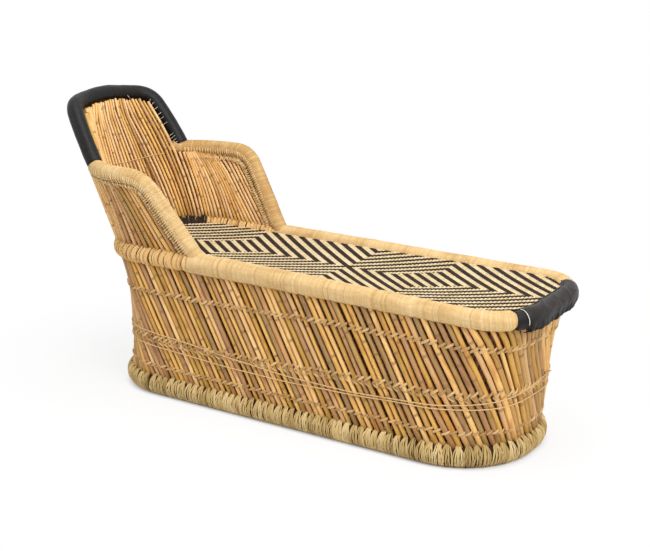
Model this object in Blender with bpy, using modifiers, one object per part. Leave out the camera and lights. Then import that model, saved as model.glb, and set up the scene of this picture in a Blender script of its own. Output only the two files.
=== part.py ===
"""A reed chaise longue with a woven rope seat, low arms and a leaning back.

Metres, +Z up, floor at z = 0.  The head (the back) is at -X, the foot at +X,
the near side at -Y.  The two rings are rounded oblongs in plan; straight reeds
lean between them in two crossing layers, and the wall carries on above the seat
ring as the arms and the back.
"""
import math

import bmesh
import bpy
from mathutils import Vector

# Seat ring: a bent pole wrapped in jute, grass and leathercloth
SEAT_TOP = 0.420
SEAT_HEAD_X = -0.5498
SEAT_FOOT_X = 0.6987
SEAT_HALF_WIDTH = 0.192
SEAT_HEAD_FLAT = 0.059
SEAT_FOOT_CORNER = 0.120
RAIL_RADIUS = 0.028
RAIL_WRAP = 0.004
COVER_TURN = math.radians(52.0)

# Base hoop: a bundle of grass bound with grass, flattened where it stands
BASE_HEAD_INSET = 0.021
BASE_FOOT_INSET = 0.0526
BASE_HEAD_FLAT = 0.032
BASE_FOOT_FLAT = 0.014
HOOP_RADIUS = 0.032
HOOP_SIDES = 10

# Reeds, squared off, with the lean of one end against the other along the ring
REED_WIDTH = 0.0098
REED_PITCH = 0.0198
INNER_PITCH = 0.0396
LAYER_GAP = 0.0104
BASE_LEAN = 0.163
HEAD_WAIST = 0.032
FOOT_WAIST = 0.010
TIE_HEIGHT = 0.167
TIE_DEPTH = 0.010

# Cords tied round the outside of the base wall
CORD_RADIUS = 0.0022
UPPER_ROW_HEIGHT = 0.288
UPPER_ROW_LIFT = 0.0034
WAIST_CORD_HEIGHTS = (0.142, 0.130)
WAIST_CORD_LIFTS = (0.0034, 0.0044)
LOWER_ROW_HEIGHT = 0.096
LOWER_ROW_LIFT = 0.0044

# Arms and back: the wall leans out from the seat ring
BACK_LEAN = 0.430
SIDE_FLARE = 0.210
ARM_RADIUS = 0.0215
ARM_RISE = 0.1905
ARM_FOOT_FROM_HEAD = 0.317
ARM_BEND_FROM_HEAD = 0.1886
ARM_BEND_RADIUS = 0.090
ARM_BACK_ANGLE = math.radians(38.0)
ARM_WRAP = 0.003
FRAME_RADIUS = 0.0220
FRAME_COVER = 0.0025
FRAME_CORNER_ANGLE = math.radians(21.7)
FRAME_CORNER_RISE = 0.344
FRAME_PEAK_RISE = 0.3605
FRAME_CORNER_RADIUS = 0.0295
BACK_REED_LEAN = 0.30
ARM_REED_LEAN = 0.70
UPPER_PITCH = 0.0230
UPPER_TIE_RISE = 0.032
SHORTEST_REED = 0.060
BACK_CORD_RISE = 0.178
BACK_CORD_RADIUS = 0.0018
BACK_CORD_LIFT = 0.0027

# Woven seat
WEAVE_DROP = 0.017
WEAVE_THICKNESS = 0.009

# Fits
GAP = 0.0003
POLE_CLEARANCE = 0.0010
REED_END_CLEARANCE = 0.0010
CORNER_SAG = 0.0013
CORNER_STEP = 0.025
STRAIGHT_STEP = 0.300
TUBE_SIDES = 8
BELT_SAMPLES = 240
BELT_TURN = math.radians(8.0)
STRAIGHT_TURN = math.radians(0.3)
BEND_STEPS = 5
ARCH_STEPS = 8
SLIGHT_BEND = math.radians(160.0)
PATH_STEP = 0.040
SEAM_STEP = 0.002
SEAM_GAP = 0.00045
BACK_CORD_STEPS = 12
NEAREST_SAMPLES = 200
WELD = 0.00005

SEAT_HEAD_CORNER = SEAT_HALF_WIDTH - SEAT_HEAD_FLAT
BASE_HEAD_CORNER = SEAT_HALF_WIDTH - BASE_HEAD_FLAT
BASE_FOOT_CORNER = SEAT_HALF_WIDTH - BASE_FOOT_FLAT
RAIL_HEIGHT = SEAT_TOP - RAIL_RADIUS
HOOP_HEIGHT = HOOP_RADIUS * math.cos(math.pi / HOOP_SIDES)
HOOP_TOP = 2 * HOOP_HEIGHT
RAIL_BOTTOM = RAIL_HEIGHT - RAIL_RADIUS
HALF_REED = REED_WIDTH / 2
LAYER_OFFSET = HALF_REED + LAYER_GAP / 2
ROUND_SLOPE = math.tan(math.pi / TUBE_SIDES)
ARM_HEIGHT = SEAT_TOP + ARM_RISE
FRAME_CORNER_HEIGHT = SEAT_TOP + FRAME_CORNER_RISE
FRAME_PEAK_HEIGHT = SEAT_TOP + FRAME_PEAK_RISE
UPPER_TIE_HEIGHT = SEAT_TOP + UPPER_TIE_RISE
BACK_CORD_HEIGHT = SEAT_TOP + BACK_CORD_RISE
WEAVE_TOP = SEAT_TOP - WEAVE_DROP

UP = Vector((0.0, 0.0, 1.0))

COLOURS = {
    "reed": (0.72, 0.52, 0.27),
    "inner_reed": (0.55, 0.38, 0.20),
    "jute": (0.80, 0.64, 0.40),
    "grass": (0.66, 0.52, 0.27),
    "pole": (0.52, 0.36, 0.18),
    "leathercloth": (0.03, 0.03, 0.03),
    "twine": (0.70, 0.53, 0.31),
    "rope": (0.74, 0.66, 0.50),
}
CLOTH_ROUGHNESS = 0.45
FIBRE_ROUGHNESS = 0.75


def clear_scene():
    for item in list(bpy.data.objects):
        bpy.data.objects.remove(item, do_unlink=True)


def material(name):
    """One plain material per kind of stuff, shared by the pieces made of it."""
    found = bpy.data.materials.get(name)
    if found:
        return found
    made = bpy.data.materials.new(name)
    made.use_nodes = True
    shader = made.node_tree.nodes["Principled BSDF"]
    shader.inputs["Base Color"].default_value = (*COLOURS[name], 1.0)
    shader.inputs["Roughness"].default_value = CLOTH_ROUGHNESS if name == "leathercloth" else FIBRE_ROUGHNESS
    return made


def add_object(name, data, stuff):
    """Put a piece in the chaise's collection with its own material."""
    piece = bpy.data.objects.new(name, data)
    piece.data.materials.append(material(stuff))
    parts.objects.link(piece)
    return piece


class Oblong:
    """A rounded oblong in plan, walked by arc length from the middle of its head, near side first."""

    def __init__(self, head_x, foot_x, half_width, head_corner, foot_corner):
        head_half = half_width - head_corner
        foot_half = half_width - foot_corner
        head_turn = head_x + head_corner
        foot_turn = foot_x - foot_corner
        quarter = math.pi / 2
        self.stretches = [
            self.line((head_x, 0), (head_x, -head_half)),
            self.arc((head_turn, -head_half), head_corner, 2 * quarter),
            self.line((head_turn, -half_width), (foot_turn, -half_width)),
            self.arc((foot_turn, -foot_half), foot_corner, 3 * quarter),
            self.line((foot_x, -foot_half), (foot_x, foot_half)),
            self.arc((foot_turn, foot_half), foot_corner, 4 * quarter),
            self.line((foot_turn, half_width), (head_turn, half_width)),
            self.arc((head_turn, head_half), head_corner, 5 * quarter),
            self.line((head_x, head_half), (head_x, 0)),
        ]
        self.length = sum(stretch[0] for stretch in self.stretches)
        self.side_start = self.stretches[0][0] + self.stretches[1][0]
        self.side_end = self.side_start + self.stretches[2][0]
        self.head_half = head_half
        self.head_corner = head_corner

    @staticmethod
    def line(start, end):
        start = Vector((*start, 0.0))
        end = Vector((*end, 0.0))
        along = (end - start).normalized()
        outward = along.cross(UP)
        return (end - start).length, lambda d: (start + along * d, outward), False

    @staticmethod
    def arc(centre, radius, start_angle):
        centre = Vector((*centre, 0.0))

        def place(d):
            angle = start_angle + d / radius
            outward = Vector((math.cos(angle), math.sin(angle), 0.0))
            return centre + outward * radius, outward

        return radius * math.pi / 2, place, True

    def at(self, distance):
        """Point and outward direction at an arc length, which wraps round."""
        left = distance % self.length
        for length, place, _ in self.stretches:
            if left <= length:
                return place(left)
            left -= length
        return self.stretches[0][1](0.0)

    def nearest(self, point):
        """Arc length of the place on the outline nearest to a point, looked for twice, the second time closely."""
        low, step = 0.0, self.length / NEAREST_SAMPLES
        for _ in range(2):
            stops = [low + step * k for k in range(NEAREST_SAMPLES + 1)]
            best = min(stops, key=lambda s: (self.at(s)[0] - point).length)
            low, step = best - step, 2 * step / NEAREST_SAMPLES
        return best

    def walk(self, start, end):
        """Arc lengths from start to end: close together round corners, wide apart on straights."""
        stops = [start]
        low = -self.length
        for length, _, curved in self.stretches * 3:
            first, last = max(low, start), min(low + length, end)
            low += length
            if last - first > GAP:
                count = math.ceil((last - first) / (CORNER_STEP if curved else STRAIGHT_STEP))
                stops += [first + (last - first) * k / count for k in range(1, count + 1)]
        return stops


def tube_mesh(name, points, radius, closed=False, caps=True, sides=TUBE_SIDES):
    """The mesh of a round tube along a line of points."""
    curve = bpy.data.curves.new(name, "CURVE")
    curve.dimensions = "3D"
    curve.bevel_depth = radius
    curve.bevel_resolution = (sides - 4) // 2
    curve.use_fill_caps = caps and not closed
    spline = curve.splines.new("POLY")
    spline.points.add(len(points) - 1)
    for stop, point in zip(spline.points, points):
        stop.co = (*point, 1.0)
    spline.use_cyclic_u = closed
    spline.use_smooth = True
    swept = bpy.data.objects.new(name, curve)
    data = bpy.data.meshes.new_from_object(swept)
    bpy.data.objects.remove(swept)
    mesh = bmesh.new()
    mesh.from_mesh(data)
    bmesh.ops.remove_doubles(mesh, verts=mesh.verts, dist=WELD)
    mesh.to_mesh(data)
    mesh.free()
    return data


def tube(name, points, radius, stuff, closed=False, caps=True, sides=TUBE_SIDES):
    """A piece that is a round tube along a line of points."""
    return add_object(name, tube_mesh(name, points, radius, closed, caps, sides), stuff)


def tube_cutter(name, points, radius, closed=False):
    """A cutter for the feet of tubes that stand on this one."""
    cutter = bpy.data.objects.new(name, tube_mesh(name, points, radius + GAP, closed))
    cutter.display_type = "WIRE"
    cutter.hide_render = True
    cutters.objects.link(cutter)
    return cutter


def fit_foot(piece, cutter):
    """Cut the foot of a tube to sit over the tube it stands on."""
    foot = piece.modifiers.new("foot", "BOOLEAN")
    foot.operation = "DIFFERENCE"
    foot.solver = "EXACT"
    foot.object = cutter


def sleeve(name, points, radius, thickness, stuff):
    """A wrap: an open-ended tube with a wall that grows inwards."""
    wrap = tube(name, points, radius, stuff, caps=False)
    wall = wrap.modifiers.new("wall", "SOLIDIFY")
    wall.thickness = thickness
    wall.offset = -1.0
    wall.use_even_offset = True
    return wrap


def pole_radius(radius, thickness):
    """Radius of the pole that runs inside a wrap."""
    return radius - (thickness + POLE_CLEARANCE) / math.cos(math.pi / TUBE_SIDES)


def swept_ring(name, outline, height, section, stuff):
    """A closed ring with the same flat-bottomed section all the way round."""
    mesh = bmesh.new()
    rings = []
    for stop in outline.walk(0.0, outline.length)[:-1]:
        point, outward = outline.at(stop)
        rings.append([mesh.verts.new(point + outward * a + UP * (height + b)) for a, b in section])
    for ring, following in zip(rings, rings[1:] + rings[:1]):
        for k in range(len(section)):
            n = (k + 1) % len(section)
            mesh.faces.new((ring[k], ring[n], following[n], following[k]))
    return finish_mesh(name, mesh, stuff)


def finish_mesh(name, mesh, stuff):
    bmesh.ops.recalc_face_normals(mesh, faces=mesh.faces)
    data = bpy.data.meshes.new(name)
    mesh.to_mesh(data)
    mesh.free()
    return add_object(name, data, stuff)


class Reed:
    """A reed, squared off, that lies on a wall: centre and outward direction at each level, foot first."""

    def __init__(self, levels):
        self.levels = levels
        rise = levels[-1][0] - levels[0][0]
        self.half_side = HALF_REED * rise.length / rise.z

    def corners(self, level):
        """The four corners of the level cut, outer left first."""
        centre, outward = self.levels[level]
        out = outward * HALF_REED
        side = UP.cross(outward) * self.half_side
        return centre + out - side, centre + out + side, centre - out + side, centre - out - side


def reed_screen(name, reeds, stuff):
    """A row of reeds, each bound to the next by a band of twine between its second and third level."""
    mesh = bmesh.new()
    rows = []
    for reed in reeds:
        levels = range(len(reed.levels))
        rows.append([[mesh.verts.new(corner) for corner in reed.corners(level)] for level in levels])
    for index, rings in enumerate(rows):
        tied_sides = {1} if index < len(rows) - 1 else set()
        tied_sides |= {3} if index > 0 else set()
        mesh.faces.new(rings[0])
        mesh.faces.new(rings[-1])
        for level, (low, high) in enumerate(zip(rings, rings[1:])):
            for side in range(4):
                if level == 1 and side in tied_sides:
                    continue
                n = (side + 1) % 4
                mesh.faces.new((low[side], low[n], high[n], high[side]))
    for rings, following in zip(rows, rows[1:]):
        here = (rings[1][1], rings[2][1], rings[2][2], rings[1][2])
        there = (following[1][0], following[2][0], following[2][3], following[1][3])
        for k in range(4):
            n = (k + 1) % 4
            mesh.faces.new((here[k], there[k], there[n], here[n]))
    return finish_mesh(name, mesh, stuff)


def tie_levels(foot, tie, head):
    """Heights of a reed's levels: foot, the two edges of its tie, halfway up the rest, and head."""
    tie_top = tie + TIE_DEPTH / 2
    return foot, tie - TIE_DEPTH / 2, tie_top, (tie_top + head) / 2, head


def rail_fall(layer):
    """How far the round of the seat ring falls away at the near edge of a layer of reeds."""
    edge = LAYER_GAP / 2 if layer > 0 else LAYER_GAP / 2 - CORNER_SAG
    return edge * ROUND_SLOPE


def base_wall_point(stop, height):
    """A place on the middle of the base wall below a stop of the seat ring."""
    top, top_out = seat.at(stop)
    low, low_out = base.at(base.nearest(top))
    share = min((height - HOOP_TOP) / (RAIL_BOTTOM - HOOP_TOP), 1.0)
    outward = low_out.lerp(top_out, share).normalized()
    deepest = HEAD_WAIST if outward.x < 0 else FOOT_WAIST
    waist = deepest * outward.x ** 2 * 4 * share * (1 - share)
    place = low.lerp(top, share) - outward * waist
    return Vector((place.x, place.y, height)), outward


def base_reed(layer, stop):
    """A reed between hoop and seat ring: layer 1 is outside, -1 inside and leaning the other way."""
    foot, head = HOOP_TOP + GAP, RAIL_BOTTOM + rail_fall(layer) - GAP
    levels = []
    for height in tie_levels(foot, TIE_HEIGHT, head):
        share = (head - height) / (head - foot)
        place, outward = base_wall_point(stop + layer * BASE_LEAN * share, height)
        levels.append((place + outward * (layer * LAYER_OFFSET), outward))
    return Reed(levels)


def base_panel(middle):
    """The panel that a reed belongs to, by its middle: a side takes the reeds that lie whole on its straight."""
    inset = BASE_LEAN / 2
    along = min(middle, seat.length - middle)
    half = "near" if middle < seat.length / 2 else "far"
    if seat.side_start + inset <= along <= seat.side_end - inset:
        return f"{half}_side"
    return f"head_{half}" if along < seat.length / 4 else f"foot_{half}"


def build_base_wall(layer, pitch, label, stuff):
    """One layer of the base wall, in six panels."""
    count = round(seat.length / pitch)
    middles = [(k + 0.5) * seat.length / count for k in range(count)]
    panels = {}
    for middle in middles:
        reed = base_reed(layer, middle - layer * BASE_LEAN / 2)
        panels.setdefault(base_panel(middle), []).append(reed)
    for name, reeds in panels.items():
        reed_screen(f"{name}_{label}_reeds", reeds, stuff)


def belt_stops(height):
    """Stops for a cord round the base wall: where a straight ends, and at each turn of a few degrees."""
    fine = [seat.length * k / BELT_SAMPLES for k in range(BELT_SAMPLES)]
    facing = [base_wall_point(stop, height)[1] for stop in fine]
    stops = []
    for k, stop in enumerate(fine):
        straight_before = facing[k].angle(facing[k - 1]) < STRAIGHT_TURN
        straight_after = facing[k].angle(facing[(k + 1) % BELT_SAMPLES]) < STRAIGHT_TURN
        if not stops or straight_before != straight_after or facing[k].angle(last) > BELT_TURN:
            stops.append(stop)
            last = facing[k]
    return stops


def belt(name, height, lift):
    """A cord tied round the outside of the base wall."""
    stand_off = LAYER_OFFSET + HALF_REED + lift + CORD_RADIUS
    points = []
    for stop in belt_stops(height):
        place, outward = base_wall_point(stop, height)
        points.append(place + outward * stand_off)
    return tube(name, points, CORD_RADIUS, "twine", closed=True, sides=4)


def build_hoop():
    """Base hoop with its lowest side flat on the floor."""
    section = []
    for k in range(HOOP_SIDES):
        angle = 2 * math.pi * (k + 0.5) / HOOP_SIDES - math.pi / 2
        section.append((HOOP_RADIUS * math.cos(angle), HOOP_RADIUS * math.sin(angle)))
    return swept_ring("base_hoop", base, HOOP_HEIGHT, section, "grass")


def ring_points(stops):
    return [seat.at(stop)[0] + UP * RAIL_HEIGHT for stop in stops]


def build_seat_ring():
    """The bent pole all round, and the four wraps that cover it end to end, squared off at their seams."""
    core_stops = seat.walk(0.0, seat.length)[:-1]
    core_radius = pole_radius(RAIL_RADIUS, RAIL_WRAP)
    tube("seat_ring_pole", ring_points(core_stops), core_radius, "pole", closed=True)
    cover_start = seat.side_end + SEAT_FOOT_CORNER * COVER_TURN
    spans = {
        "head_ring_wrap": (-arm_foot, arm_foot, "grass"),
        "near_rail_wrap": (arm_foot, cover_start, "jute"),
        "foot_cover": (cover_start, seat.length - cover_start, "leathercloth"),
        "far_rail_wrap": (seat.length - cover_start, seat.length - arm_foot, "jute"),
    }
    for name, (start, end, stuff) in spans.items():
        first, *middle, last = seat.walk(start + SEAM_GAP, end - SEAM_GAP)
        stops = [first, first + SEAM_STEP, *middle, last - SEAM_STEP, last]
        sleeve(name, ring_points(stops), RAIL_RADIUS, RAIL_WRAP, stuff)


def wall_point(stop, height):
    """A place on the wall above the seat ring; stop is counted from the head, the far side negative."""
    point, outward = seat.at(stop)
    flare = BACK_LEAN * outward.x ** 2 + SIDE_FLARE * outward.y ** 2
    return point + outward * (flare * (height - SEAT_TOP)) + UP * height, outward


def rounded(points, radius):
    """A line of (stop, height) points with its sharp corners rounded."""
    path = [Vector(points[0])]
    for before, corner, after in zip(points, points[1:], points[2:]):
        corner = Vector(corner)
        back = (Vector(before) - corner).normalized()
        on = (Vector(after) - corner).normalized()
        if back.angle(on) > SLIGHT_BEND:
            path.append(corner)
            continue
        reach = radius / math.tan(back.angle(on) / 2)
        start, end = corner + back * reach, corner + on * reach
        for k in range(BEND_STEPS + 1):
            t = k / BEND_STEPS
            path.append(start.lerp(corner, t).lerp(corner.lerp(end, t), t))
    path.append(Vector(points[-1]))
    return path


def spaced(path):
    """The same line with points close enough to follow the ring where it curves."""
    line = [path[0]]
    for start, end in zip(path, path[1:]):
        curved = min(abs(start.x), abs(end.x)) < seat.side_start
        count = math.ceil((end - start).length / PATH_STEP) if curved else 1
        line += [start.lerp(end, k / count) for k in range(1, count + 1)]
    return line


def arm_line():
    """The arm's centre line on the near half, as (stop, height), from inside the rail to its back end."""
    slope = (arm_foot - arm_bend) / ARM_RISE
    foot = (arm_foot + slope * RAIL_RADIUS, RAIL_HEIGHT)
    back = (arm_back - FRAME_RADIUS, ARM_HEIGHT)
    return spaced(rounded((foot, (arm_bend, ARM_HEIGHT), back), ARM_BEND_RADIUS))


def frame_line():
    """The back frame's centre line from inside the near arm, over its arched top, to the far arm."""
    foot_height = ARM_HEIGHT + ARM_RADIUS / 2
    arch = []
    for k in range(ARCH_STEPS + 1):
        share = 1 - 2 * k / ARCH_STEPS
        fall = (FRAME_PEAK_HEIGHT - FRAME_CORNER_HEIGHT) * share ** 2
        arch.append((frame_corner * share, FRAME_PEAK_HEIGHT - fall))
    return spaced(rounded(((arm_back, foot_height), *arch, (-arm_back, foot_height)), FRAME_CORNER_RADIUS))


def build_arm(side, sign):
    """One arm: a bent pole in a jute wrap, with its foot cut to sit over the side rail."""
    points = [wall_point(sign * stop, height)[0] for stop, height in arm_path]
    wrap = sleeve(f"{side}_arm_wrap", points, ARM_RADIUS, ARM_WRAP, "jute")
    pole = tube(f"{side}_arm_pole", points, pole_radius(ARM_RADIUS, ARM_WRAP), "pole")
    for piece in (wrap, pole):
        fit_foot(piece, rail_cutter)


def build_back_frame():
    """The bent frame of the back in its black cover, with its feet cut to sit over the back ends of the arms."""
    points = [wall_point(stop, height)[0] for stop, height in frame_path]
    cover = sleeve("back_frame_cover", points, FRAME_RADIUS, FRAME_COVER, "leathercloth")
    pole = tube("back_frame_pole", points, pole_radius(FRAME_RADIUS, FRAME_COVER), "pole")
    for side, sign in (("near", 1), ("far", -1)):
        line = [wall_point(sign * stop, height)[0] for stop, height in arm_path]
        past_the_end = line[-1] + (line[-1] - line[-2]).normalized() * 2 * FRAME_RADIUS
        cutter = tube_cutter(f"{side}_arm_cutter", [*line, past_the_end], ARM_RADIUS)
        for piece in (cover, pole):
            fit_foot(piece, cutter)


def clear_of(stop, height, line, radius):
    """Whether a reed's top at this place keeps clear of a tube with this centre line."""
    reach = radius + REED_END_CLEARANCE
    for side in (-HALF_REED, HALF_REED):
        corner = Vector((stop + side, height))
        for start, end in zip(line, line[1:]):
            along = end - start
            share = min(max((corner - start).dot(along) / along.length_squared, 0.0), 1.0)
            if (corner - start - along * share).length < reach:
                return False
    return True


def upper_lean(start):
    """How far a reed above the seat ring leans for its height: little in the back, most at the arm's foot."""
    share = (abs(start) - arm_back) / (arm_foot - arm_back)
    return BACK_REED_LEAN + (ARM_REED_LEAN - BACK_REED_LEAN) * max(share, 0.0)


def upper_reed(layer, start):
    """A reed of the arms or back and the stop of its top, from the seat ring to the tube above it."""
    foot = SEAT_TOP - rail_fall(layer) / (1 + BACK_LEAN * ROUND_SLOPE) + GAP
    head = foot
    lean = upper_lean(start)

    def stop_at(height):
        return start - layer * lean * (height - foot)

    def is_clear(height):
        stop = stop_at(height)
        on_arm = clear_of(abs(stop), height, arm_path, ARM_RADIUS)
        return on_arm and clear_of(stop, height, frame_path, FRAME_RADIUS)

    while head < FRAME_PEAK_HEIGHT and is_clear(head + REED_END_CLEARANCE):
        head += REED_END_CLEARANCE
    if head - foot < SHORTEST_REED:
        return None
    levels = []
    for height in tie_levels(foot, UPPER_TIE_HEIGHT, head):
        place, outward = wall_point(stop_at(height), height)
        levels.append((place + outward * (layer * LAYER_OFFSET), outward))
    return stop_at(head), Reed(levels)


def build_upper_wall(layer, label, stuff):
    """One layer of the arms and back in four panels."""
    panels = {"near_arm": [], "back_near": [], "back_far": [], "far_arm": []}
    count = round(2 * arm_foot / UPPER_PITCH)
    for k in range(count):
        start = arm_foot - (k + 0.5) * 2 * arm_foot / count
        made = upper_reed(layer, start)
        if made is None:
            continue
        end, reed = made
        if abs(end) >= arm_back:
            name = "near_arm" if end > 0 else "far_arm"
        else:
            name = "back_near" if start + end > 0 else "back_far"
        panels[name].append(reed)
    for name, reeds in panels.items():
        reed_screen(f"{name}_{label}_reeds", reeds[::-1], stuff)


def build_back_cord():
    """The thin cord tied across the inside of the back."""
    stand_off = LAYER_OFFSET + HALF_REED + BACK_CORD_LIFT + BACK_CORD_RADIUS
    points = []
    for k in range(BACK_CORD_STEPS + 1):
        point, outward = wall_point(frame_corner * (1 - 2 * k / BACK_CORD_STEPS), BACK_CORD_HEIGHT)
        points.append(point - outward * stand_off)
    tube("back_cord", points, BACK_CORD_RADIUS, "twine", sides=4)


def build_weave():
    """The woven rope panel inside the seat ring."""
    inset = RAIL_RADIUS + GAP
    stops = seat.walk(0.0, seat.length)[:-1]
    curve = bpy.data.curves.new("seat_weave", "CURVE")
    curve.dimensions = "2D"
    curve.fill_mode = "BOTH"
    curve.extrude = WEAVE_THICKNESS / 2
    spline = curve.splines.new("POLY")
    spline.points.add(len(stops) - 1)
    for place, stop in zip(spline.points, stops):
        point, outward = seat.at(stop)
        place.co = (*(point - outward * inset), 1.0)
    spline.use_cyclic_u = True
    panel = add_object("seat_weave", curve, "rope")
    panel.location.z = WEAVE_TOP - WEAVE_THICKNESS / 2


clear_scene()
parts = bpy.data.collections.new("reed_chaise_longue")
cutters = bpy.data.collections.new("cutters")
for group in (parts, cutters):
    bpy.context.scene.collection.children.link(group)

seat = Oblong(SEAT_HEAD_X, SEAT_FOOT_X, SEAT_HALF_WIDTH, SEAT_HEAD_CORNER, SEAT_FOOT_CORNER)
base = Oblong(SEAT_HEAD_X + BASE_HEAD_INSET, SEAT_FOOT_X - BASE_FOOT_INSET, SEAT_HALF_WIDTH,
              BASE_HEAD_CORNER, BASE_FOOT_CORNER)

# Places along the seat ring, counted from the middle of the head
side_from_head = seat.side_start - SEAT_HEAD_CORNER
arm_foot = side_from_head + ARM_FOOT_FROM_HEAD
arm_bend = side_from_head + ARM_BEND_FROM_HEAD
arm_back = seat.head_half + seat.head_corner * ARM_BACK_ANGLE
frame_corner = seat.head_half + seat.head_corner * FRAME_CORNER_ANGLE
arm_path = arm_line()
frame_path = frame_line()

build_hoop()
build_base_wall(1, REED_PITCH, "outer", "reed")
build_base_wall(-1, INNER_PITCH, "inner", "inner_reed")
belt("upper_row_cord", UPPER_ROW_HEIGHT, UPPER_ROW_LIFT)
belt("waist_cord_upper", WAIST_CORD_HEIGHTS[0], WAIST_CORD_LIFTS[0])
belt("waist_cord_lower", WAIST_CORD_HEIGHTS[1], WAIST_CORD_LIFTS[1])
belt("lower_row_cord", LOWER_ROW_HEIGHT, LOWER_ROW_LIFT)
build_seat_ring()
build_weave()
rail_cutter = tube_cutter("rail_cutter", ring_points(seat.walk(0.0, seat.length)[:-1]), RAIL_RADIUS, closed=True)
build_arm("near", 1)
build_arm("far", -1)
build_back_frame()
build_upper_wall(1, "outer", "reed")
build_upper_wall(-1, "inner", "inner_reed")
build_back_cord()
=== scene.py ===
"""Looks of the reed chaise longue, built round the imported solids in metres.

+X runs from the back to the foot end, +Z is up, and the photographer stands on the -Y side. A stop is a
length along the seat ring from the middle of the head, positive on the near side, negative on the far side.
"""
import math

import bpy
import numpy as np
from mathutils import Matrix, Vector


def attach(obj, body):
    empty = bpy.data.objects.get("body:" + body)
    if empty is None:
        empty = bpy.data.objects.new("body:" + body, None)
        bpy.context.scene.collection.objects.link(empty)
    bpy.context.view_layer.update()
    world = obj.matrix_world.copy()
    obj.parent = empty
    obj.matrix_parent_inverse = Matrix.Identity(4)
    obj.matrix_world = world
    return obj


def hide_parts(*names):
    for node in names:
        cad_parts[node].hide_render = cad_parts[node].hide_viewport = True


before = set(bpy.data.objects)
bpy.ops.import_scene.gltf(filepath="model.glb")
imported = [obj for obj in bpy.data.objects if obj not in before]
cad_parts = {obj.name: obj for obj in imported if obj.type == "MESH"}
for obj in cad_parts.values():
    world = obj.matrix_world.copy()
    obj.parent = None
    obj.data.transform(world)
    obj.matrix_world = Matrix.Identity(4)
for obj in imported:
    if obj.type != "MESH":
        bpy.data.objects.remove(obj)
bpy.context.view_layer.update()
rng = np.random.default_rng(20)

# The seat ring and base hoop, as in the solids
SEAT_TOP = 0.420
SEAT_HEAD_X = -0.5498
SEAT_FOOT_X = 0.6987
SEAT_HALF_WIDTH = 0.192
SEAT_HEAD_FLAT = 0.059
SEAT_FOOT_CORNER = 0.120
RAIL_RADIUS = 0.028
COVER_TURN = math.radians(52)
BASE_HEAD_INSET = 0.021
BASE_FOOT_INSET = 0.0526
BASE_HEAD_FLAT = 0.032
BASE_FOOT_FLAT = 0.014
HOOP_RADIUS = 0.032
HOOP_HEIGHT = 0.0304
HOOP_TOP = 0.0609
RAIL_HEIGHT = SEAT_TOP - RAIL_RADIUS
RAIL_BOTTOM = RAIL_HEIGHT - RAIL_RADIUS

# Layers, leans, waists and flares of the reed walls, as in the solids
LAYER_OFFSET = 0.0101
BASE_LEAN = 0.163
HEAD_WAIST = 0.032
FOOT_WAIST = 0.010
BACK_LEAN = 0.430
SIDE_FLARE = 0.210
BACK_CORD_RISE = 0.178

# The arms and back frame, as in the solids
ARM_RADIUS = 0.0215
ARM_RISE = 0.1905
ARM_FOOT_FROM_HEAD = 0.317
ARM_BEND_FROM_HEAD = 0.1886
ARM_BEND_RADIUS = 0.090
ARM_BACK_ANGLE = math.radians(38)
FRAME_RADIUS = 0.0220
FRAME_CORNER_ANGLE = math.radians(21.7)
FRAME_CORNER_RISE = 0.344
FRAME_PEAK_RISE = 0.3605
FRAME_CORNER_RADIUS = 0.0295

# The base wall draws in under the ring too: how deep at each end, and where and how far by share of height
HEAD_FUNNEL = 0.013
FOOT_FUNNEL = 0.022
FUNNEL_MIDDLE = 0.82
FUNNEL_REACH = 0.4

# Reeds of the base wall
REED_PITCH = 0.0189
REED_RADIUS = 0.0060
HEAD_CROWDING = 0.12
INNER_PITCH = 0.0135
INNER_RADIUS = 0.0064
REED_SINK = 0.010
BASE_GIRTHS = (0.10, 0.78, 1.18)

# Every reed: its joints, and how far it strays from its place
REED_SIDES = 10
FIRST_JOINT = (0.02, 0.16)
JOINT_SPACING = (0.11, 0.19)
JOINT_HALF = 0.005
JOINT_SWELL = 0.10
FOOT_SWELL = 0.05
END_STRAY = 0.0014
BOW_STRAY = 0.0010
DEPTH_STRAY = 0.0005

# Reeds above the seat ring: closed where a layer is seen from behind, spaced where it is seen from the front
CLOSE_PITCH = 0.0090
CLOSE_RADIUS = 0.0063
CLOSE_TRIAL = 0.0005
CLOSEST = 0.001
STAGGER = 0.0055
BACK_PITCH = 0.0168
BACK_RADIUS = 0.0036
BEND_START = 0.070
BEND_PITCH = 0.0106
NEAR_ARM_START = 0.190
NEAR_ARM_PITCH = 0.0187
NEAR_ARM_RADIUS = 0.0051
FAR_ARM_START = -0.215
FAR_ARM_PITCH = 0.0140
FAR_ARM_RADIUS = 0.0042
UPPER_GIRTHS = (0.09, 0.8, 1.15)
UPPER_ROOT = 0.008
SHORTEST_REED = 0.045
FRAME_LAP = 0.15
TIP_LAP = (0.001, 0.008)
TIP_LIFT_REACH = 0.05
INNER_TONES = (0.37, 0.12)
OUTER_TONES = (0.1, 0.9)
# The outer reeds behind the back take the darker shades of the reed's own range, as painted shade in the
# gaps between the inner reeds
BACK_TONES_IN_PAINTED_SHADE = (0.78, 1.18)

# Lean of the reeds above the seat ring, by layer (outer 1, inner -1): the stops of their feet, and the
# change of stop for rise there
LEANS = {
    1: ((-0.36, -0.20, 0.08, 0.23, 0.31, 0.38), (-0.60, -0.08, -0.20, -0.14, -0.43, -0.56)),
    -1: ((-0.36, -0.20, -0.13, 0.16, 0.36), (0.82, 0.26, 0.17, -0.19, 0.60)),
}

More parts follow.
